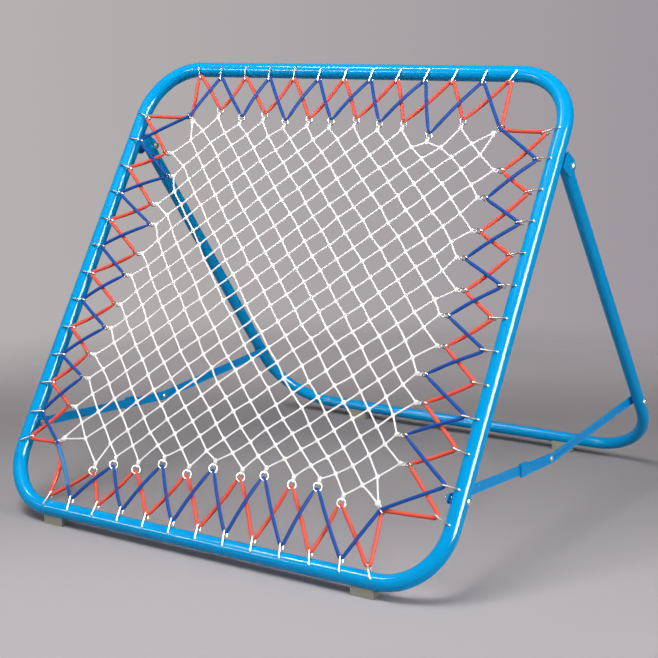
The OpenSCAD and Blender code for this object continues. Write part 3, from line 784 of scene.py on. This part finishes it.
class REBOUND_OT_cords(Operator):
    """Two elastic cords, each from hook to ring to hook all the way round, and their sleeves"""

    bl_idname = "rebound.cords"
    bl_label = "Add elastic cords"

    def add_cord(self, name, cord, colour):
        swept = Sweep(CORD_SIDES)
        swept.tube(cord.path, cord.radii, OUT_OF_FACE, closed=True)
        piece = swept.finish(f"{name}_elastic", in_frame())
        skin = braided(f"{name}_braided_polyester", colour, step=0.004, threads=8)
        stand_for(piece, skin, f"{name}_elastic_cord", f"{name}_bungee")

    def add_sleeve(self, name, cord, colour):
        """A shrunk sleeve along a cord's joint."""
        joint = cord.joint
        path, radii = [], []
        for t, radius in SLEEVE_SPANS[name]:
            place = t * (len(joint) - 1)
            before = min(int(place), len(joint) - 2)
            path.append(joint[before].lerp(joint[before + 1], place - before))
            radii.append(radius)
        swept = Sweep(SLEEVE_SIDES)
        swept.tube(path, radii, OUT_OF_FACE, bore=cord.thick / 2 + SLEEVE_ROOM)
        piece = swept.finish(f"{name}_joint_sleeve", in_frame())
        skin = moulded(f"{name}_joint_sleeve_skin", colour, rough=0.32, grain=0.8)
        stand_for(piece, skin, f"{name}_sleeve", f"{name}_cord_sleeve")

    def execute(self, context):
        cords = settings().cords
        red = Cord(1, cords.red_thick, -cords.lift, cords.red_kink, cords.red_kink_at)
        blue = Cord(2, cords.blue_thick, cords.lift, cords.blue_kink, cords.blue_kink_at)
        self.add_cord("red", red, cords.red)
        self.add_cord("blue", blue, cords.blue)
        self.add_sleeve("red", red, cords.red_sleeve)
        self.add_sleeve("blue", blue, cords.blue_sleeve)
        return {"FINISHED"}


# Net: how far a corner's two knots lie aside of its ring, how high its strands lie over or under
# its plane, how far a strand bows aside, down and up between two knots, and the bare cord at a tie's
# two ends
CORNER_KNOTS = 0.0022
PASS_HEIGHT = 0.0004
STRAND_ASIDE, STRAND_DOWN, STRAND_UP = 0.0008, 0.0008, 0.0004
BARE_AT_KNOT, BARE_AT_RING = 0.0015, 0.0008
KNOT_SEED, STRAND_SEED = 7, 11


class REBOUND_OT_net(Operator):
    """Knotted net: cords on both diagonals, a knot at each crossing and a tie at each ring"""

    bl_idname = "rebound.net"
    bl_label = "Add net"

    settling: whole("Settling", 160, "Rounds in which the knots settle")

    def edge_knot(self, i, j):
        """A knot on the net's edge, which is tied to the ring beside it."""
        last = 2 * settings().net.meshes
        side = TOP if j == 0 else RIGHT if i == last else BOTTOM if j == last else LEFT
        step = (i, j, last - i, last - j)[side]
        k = (step - 1) // 2
        ring = ring_at(side, k)
        tie = settings().net.tie
        if k == 0 or k > rings_per_side():
            aside = CORNER_KNOTS if k == 0 else -CORNER_KNOTS
            return ring - tie * ring.normalized() + aside * along(side)
        return ring - tie * outward(side)

    def knots(self):
        """Every knot's place: the edge's are tied, the others settle between their neighbours."""
        last = 2 * settings().net.meshes
        reach = settings().rings.top[0] - settings().net.tie
        spots = {}
        for j in range(last + 1):
            for i in range(last + 1):
                if (i + j) % 2 == 0:
                    continue
                on_edge = i in (0, last) or j in (0, last)
                even = reach * Vector((2 * i / last - 1, 1 - 2 * j / last))
                spots[i, j] = self.edge_knot(i, j) if on_edge else even
        inner = [(i, j) for i, j in spots if 0 < i < last and 0 < j < last]
        for _ in range(self.settling):
            moved = {}
            for i, j in inner:
                near = [spots[i + di, j + dj] for di in (-1, 1) for dj in (-1, 1)]
                moved[i, j] = (near[0] + near[1] + near[2] + near[3]) / 4
            spots.update(moved)
        chance = random.Random(KNOT_SEED)
        slack = settings().net.slack
        for spot in inner:
            spots[spot] += Vector((chance.uniform(-slack, slack), chance.uniform(-slack, slack)))
        return spots

    def strand_runs(self, spots):
        """Each cord's knots, from edge to edge along both diagonals."""
        runs = []
        for down in (1, -1):
            starts = [(i, j) for i, j in spots if (i - 1, j - down) not in spots]
            for i, j in sorted(starts):
                run = []
                while (i, j) in spots:
                    run.append((i, j))
                    i, j = i + 1, j + down
                if len(run) > 1:
                    runs.append(run)
        return runs

    def execute(self, context):
        net = settings().net
        spots = self.knots()
        height = cord_height()
        chance = random.Random(STRAND_SEED)
        cord = twisted("white_twisted_polyester", net.colour, step=0.006, strands=3)
        strands = Sweep(STRAND_SIDES)
        for index, run in enumerate(self.strand_runs(spots)):
            passing = height + (PASS_HEIGHT if index % 2 else -PASS_HEIGHT)
            path = []
            for a, b in zip(run, run[1:]):
                p, q = spots[a], spots[b]
                aside = left_of((q - p).normalized()) * chance.uniform(-STRAND_ASIDE, STRAND_ASIDE)
                rise = chance.uniform(-STRAND_DOWN, STRAND_UP)
                path.append(flat(p, passing))
                for t in (0.25, 0.5, 0.75):
                    share = math.sin(math.pi * t)
                    path.append(flat(p.lerp(q, t) + share * aside, height + share * rise))
            path.append(flat(spots[run[-1]], passing))
            strands.tube(path, net.cord / 2, OUT_OF_FACE)
        piece = strands.finish("net_strands", in_frame())
        stand_for(piece, cord, "white_net_cord", "rebound_net")

        knots = Sweep(KNOT_SIDES)
        for spot in sorted(spots):
            self.tie_knot(knots, flat(spots[spot], height), chance)
        stand_for(knots.finish("net_knots", in_frame()), cord, "white_net_cord")

        ties = Sweep(KNOT_SIDES)
        for side in ALL_SIDES:
            for k in range(1, rings_per_side() + 1):
                self.tie(ties, ring_mid(side, k), outward(side))
            self.tie(ties, corner_ring(side), corner_ring(side).normalized())
        stand_for(ties.finish("net_ties", in_frame()), cord, "white_net_cord")
        return {"FINISHED"}

    def tie_knot(self, knots, middle, chance):
        """One netting knot: two short loops of cord hooked through each other."""
        net = settings().net
        shift, bend = 0.15 * net.knot, 0.62 * net.knot
        lift, radius = 0.32 * net.cord, 0.46 * net.cord
        heading = chance.uniform(-25, 25)
        steps = 6
        for flip in (0, 180):
            path = []
            for index, q in enumerate(arc((shift, 0), bend, -120, 240, steps)):
                spun = turned(q, heading + flip + 90)
                rise = lift * math.cos(2 * math.pi * index / steps) * (1 if flip else -1)
                path.append(middle + Vector((spun.x, spun.y, rise)))
            knots.tube(path, radius, OUT_OF_FACE)

    def tie(self, ties, ring, pull):
        """A hairpin of cord round a ring's wire, whipped with three turns."""
        net, rings = settings().net, settings().rings
        height = cord_height()
        across = left_of(pull)
        apart, loop = 0.5 * net.cord, rings.wire / 2 + 0.45 * net.cord
        wire = ring - rings.radius * pull
        start = ring - net.tie * pull
        hairpin = [start - across * apart]
        hairpin += [wire + turned(pull, a) * loop for a in (-90, -45, 0, 45, 90)]
        hairpin += [start + across * apart]
        ties.tube([flat(p, height) for p in hairpin], 0.42 * net.cord, OUT_OF_FACE)

        wide, high, radius = 0.72 * net.cord, 0.6 * net.cord, 0.36 * net.cord
        first, last = BARE_AT_KNOT, net.tie - rings.radius - loop - BARE_AT_RING
        turns, steps = 3, 24
        coil = []
        for s in range(steps + 1):
            angle = 2 * math.pi * turns * s / steps
            middle = start + pull * (first + (last - first) * s / steps)
            p = middle + across * math.cos(angle) * wide
            coil.append(flat(p, height + math.sin(angle) * high))
        ties.tube(coil, radius, (pull.x, pull.y, 0))


# Colours of the small metal and moulded pieces
ZINC, NYLON, RUBBER = "#E4E2DA", "#E8E6E0", "#979788"

HARDWARE = (
    *("hinge_bolts", "hinge_nuts", "front_stay_bolts", "front_stay_nuts", "front_stay_spacers"),
    *("front_foot_screws", "rear_foot_screws", "rear_stay_bolts", "rear_stay_spacers"),
    *("left_mid_rivet", "right_mid_rivet", "left_rear_stay_nut", "right_rear_stay_nut"),
)
BRACKETS = ("left_hinge_bracket", "right_hinge_bracket")
BARS = ("left_front_stay", "left_rear_stay", "right_front_stay", "right_rear_stay")
FEET = ("front_feet", "rear_feet")


class REBOUND_OT_finishes(Operator):
    """Enamel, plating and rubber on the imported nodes"""

    bl_idname = "rebound.finishes"
    bl_label = "Finish metal and feet"

    def soften(self, nodes, width):
        """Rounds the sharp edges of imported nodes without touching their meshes."""
        for name in nodes:
            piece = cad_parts[name]
            weld = piece.modifiers.new("joined_corners", "WELD")
            weld.merge_threshold = 1e-5
            rounded = piece.modifiers.new("rounded_edges", "BEVEL")
            rounded.width = width
            rounded.segments = 2
            rounded.limit_method = "ANGLE"
            rounded.angle_limit = math.radians(40)

    def execute(self, context):
        shape, rings = settings().shape, settings().rings
        tube = enamel("stoved_blue_enamel", shape.blue, gloss=0.13)
        dress(("front_frame", "rear_leg", *BRACKETS), tube)
        dress(BARS, enamel("stoved_bar_enamel", shape.bar_blue, gloss=0.24))
        dress(HARDWARE, plated_metal("zinc_plated_steel", linear(ZINC), rough=0.24, grain=3.0))
        nickel = plated_metal("nickel_plated_ring", rings.colour, rough=0.28, grain=2.5)
        dress([f"{side}_rings" for side in (*SIDE_NAMES, "corner")], nickel)
        dress(["hinge_washers"], moulded("white_nylon", linear(NYLON), rough=0.5, grain=0.6))
        dress(FEET, moulded("grey_rubber", linear(RUBBER), rough=0.72, grain=0.7))
        self.soften(BRACKETS + BARS, width=0.0008)
        self.soften(FEET, width=0.0012)
        return {"FINISHED"}


# ---- Studio ----

# Soft boxes: place, width, height and watts. A glint only shows in glossy skins, as a far bright
# window does; the others only light.
BOXES = {
    "left_box": ((-0.9, -3.4, 2.0), 0.5, 2.2, 16),
    "right_box": ((3.6, -0.6, 1.6), 0.7, 2.0, 84),
    "overhead_box": ((-0.2, -1.5, 3.1), 1.8, 1.4, 102),
    "left_glint": ((-2.4, -3.2, 1.55), 1.1, 0.4, 68),
    "right_glint": ((3.4, -0.9, 1.6), 1.5, 2.4, 950),
    "overhead_glint": ((-2.3, -1.46, 4.3), 0.8, 0.9, 115),
}
LIT_POINT = Vector((0, 0, 0.4))

# Where the paper's painted light and shade tones lie, from the camera's side to the far side: both
# ends in metres, the others as shares between them
PAPER_NEAR, PAPER_FAR = -0.6, 1.2
PAPER_MIDDLE_AT, PAPER_PAINTED_SHADE_AT = 0.36, 0.61

# The backdrop's painted light, lighter on the left than on the right, and its painted shade band at
# the horizon, by the direction of the gaze
GAZE_LEFT, GAZE_RIGHT = -0.2, 0.22
HORIZON_TOP, HORIZON_FOOT = -0.215, -0.30


class REBOUND_OT_studio(Operator):
    """Paper floor, backdrop, soft boxes and camera"""

    bl_idname = "rebound.studio"
    bl_label = "Add studio"

    floor_radius: number("Floor radius", 1.9, "Where the floor has melted away")
    floor_fade: number("Floor fade", 0.8, "Width of the melting rim")
    fill: number("Fill", 0.2, "Light from all round")
    mirrored: number("Mirrored", 0.15, "Backdrop's brightness in glossy skins")

    def heading(self):
        """Turns straight ahead to the camera's direction on the floor."""
        return Matrix.Rotation(settings().studio.around, 3, "Z")

    def camera_axes(self):
        studio = settings().studio
        spin = self.heading() @ Matrix.Rotation(math.pi / 2 - studio.down, 3, "X")
        return spin @ Matrix.Rotation(studio.roll, 3, "Z")

    def add_camera(self):
        studio = settings().studio
        data = bpy.data.cameras.new("studio_camera")
        data.sensor_width = 36
        data.lens = studio.lens
        data.clip_start, data.clip_end = 0.05, 60
        camera = bpy.data.objects.new("studio_camera", data)
        bpy.context.scene.collection.objects.link(camera)
        camera.matrix_world = Matrix.Translation(studio.camera) @ self.camera_axes().to_4x4()
        bpy.context.scene.camera = camera

    def paper(self):
        """Seamless grey paper: matt, painted lighter near the camera and far off, with a painted
        shade band where a sweep would turn up, melting away at the rim.
        """
        studio = settings().studio
        made = bpy.data.materials.new("seamless_grey_paper")
        made.use_nodes = True
        tree = made.node_tree
        tree.nodes.clear()
        place = object_coords(tree)
        deep = along_axis(tree, place, self.heading() @ Vector((0, 1, 0)))
        share = ranged(tree, deep, 0, 1, start=PAPER_NEAR, end=PAPER_FAR)
        # The ramp paints light and shade on the floor: lighter near the camera and far off, with a
        # painted shade band between.
        tone = add(tree, "ShaderNodeValToRGB", {0: share})
        ramp = tone.color_ramp
        ramp.interpolation = "EASE"
        ramp.elements[0].color = studio.paper_front
        ramp.elements[1].color = studio.paper_back
        ramp.elements.new(PAPER_MIDDLE_AT).color = studio.paper_middle
        ramp.elements.new(PAPER_PAINTED_SHADE_AT).color = studio.paper_painted_shade
        far = add(tree, "ShaderNodeVectorMath", {0: place}, operation="LENGTH").outputs["Value"]
        rim = self.floor_radius - self.floor_fade
        melt = ranged(tree, far, 0, 1, start=rim, end=self.floor_radius, smooth=True)
        matt = add(tree, "ShaderNodeBsdfDiffuse", {"Color": tone.outputs[0]})
        clear = add(tree, "ShaderNodeBsdfTransparent")
        both = add(tree, "ShaderNodeMixShader", {0: melt, 1: matt.outputs[0], 2: clear.outputs[0]})
        add(tree, "ShaderNodeOutputMaterial", {"Surface": both.outputs[0]})
        return made

    def add_floor(self):
        bpy.ops.object.select_all(action="DESELECT")
        bpy.ops.mesh.primitive_circle_add(vertices=96, radius=self.floor_radius, fill_type="NGON")
        floor = bpy.context.object
        floor.name = "paper_floor"
        floor.data.materials.append(self.paper())

    def add_world(self):
        """The backdrop for what looks past the object, painted lighter on the left and with a
        painted shade band at the horizon, and an even fill for the rest.
        """
        studio = settings().studio
        world = bpy.data.worlds.new("studio_air")
        bpy.context.scene.world = world
        world.use_nodes = True
        tree = world.node_tree
        tree.nodes.clear()
        gaze = add(tree, "ShaderNodeTexCoord").outputs["Generated"]
        # Painted light: the backdrop is blended from a lighter left to a darker right.
        sideways = along_axis(tree, gaze, self.heading() @ Vector((1, 0, 0)))
        share = ranged(tree, sideways, 0, 1, start=GAZE_LEFT, end=GAZE_RIGHT)
        wall = blended(tree, share, studio.paper_left, studio.paper_right)
        height = add(tree, "ShaderNodeSeparateXYZ", {0: gaze}).outputs[2]
        # Painted shade: a darker band at the horizon.
        low = ranged(tree, height, 0, 1, start=HORIZON_TOP, end=HORIZON_FOOT, smooth=True)
        tone = blended(tree, low, wall, studio.horizon_painted_shade)
        rays = add(tree, "ShaderNodeLightPath")
        seen = rays.outputs["Is Camera Ray"]
        for other in ("Is Glossy Ray", "Is Transmission Ray"):
            seen = maths(tree, "MAXIMUM", seen, rays.outputs[other])
        dim = ranged(tree, rays.outputs["Is Glossy Ray"], 1.0, self.mirrored)
        backdrop = add(tree, "ShaderNodeBackground", {"Color": tone, "Strength": dim})
        fill = add(tree, "ShaderNodeBackground", {"Color": (1, 1, 1, 1), "Strength": self.fill})
        inputs = {0: seen, 1: fill.outputs[0], 2: backdrop.outputs[0]}
        both = add(tree, "ShaderNodeMixShader", inputs)
        add(tree, "ShaderNodeOutputWorld", {"Surface": both.outputs[0]})

    def add_box(self, name, place, wide, tall, watts):
        data = bpy.data.lights.new(name, "AREA")
        data.shape = "RECTANGLE"
        data.size, data.size_y = wide, tall
        data.energy = watts
        lamp = bpy.data.objects.new(name, data)
        glint = name.endswith("glint")
        lamp.visible_diffuse = not glint
        lamp.visible_glossy = glint
        bpy.context.scene.collection.objects.link(lamp)
        aim = (LIT_POINT - Vector(place)).to_track_quat("-Z", "Y")
        lamp.matrix_world = Matrix.Translation(place) @ aim.to_matrix().to_4x4()

    def execute(self, context):
        self.add_camera()
        self.add_floor()
        self.add_world()
        for name, box in BOXES.items():
            self.add_box(name, *box)
        context.scene.view_settings.view_transform = "Standard"
        return {"FINISHED"}


class REBOUND_PT_tools(Panel):
    """Buttons for each group of pieces, and their sizes"""

    bl_idname = "REBOUND_PT_tools"
    bl_label = "Rebound Frame"
    bl_space_type = "VIEW_3D"
    bl_region_type = "UI"
    bl_category = "Rebound"

    def draw(self, context):
        for step in STEPS:
            self.layout.operator(step.bl_idname)
        for group in ("shape", "hooks", "rings", "cords", "net", "studio"):
            box = self.layout.box()
            box.label(text=group.title())
            held = getattr(context.scene.rebound, group)
            for name in held.__annotations__:
                box.prop(held, name)


STEPS = (
    REBOUND_OT_finishes,
    REBOUND_OT_hooks,
    REBOUND_OT_cords,
    REBOUND_OT_net,
    REBOUND_OT_studio,
)
CLASSES = (
    FrameShape,
    HookShape,
    RingShape,
    CordShape,
    NetShape,
    StudioLook,
    ReboundSettings,
    *STEPS,
    REBOUND_PT_tools,
)


def register():
    for made in CLASSES:
        bpy.utils.register_class(made)
    bpy.types.Scene.rebound = PointerProperty(type=ReboundSettings)


def unregister():
    del bpy.types.Scene.rebound
    for made in reversed(CLASSES):
        bpy.utils.unregister_class(made)


def main():
    register()
    for step in STEPS:
        group, name = step.bl_idname.split(".")
        getattr(getattr(bpy.ops, group), name)()


if __name__ == "__main__":
    main()
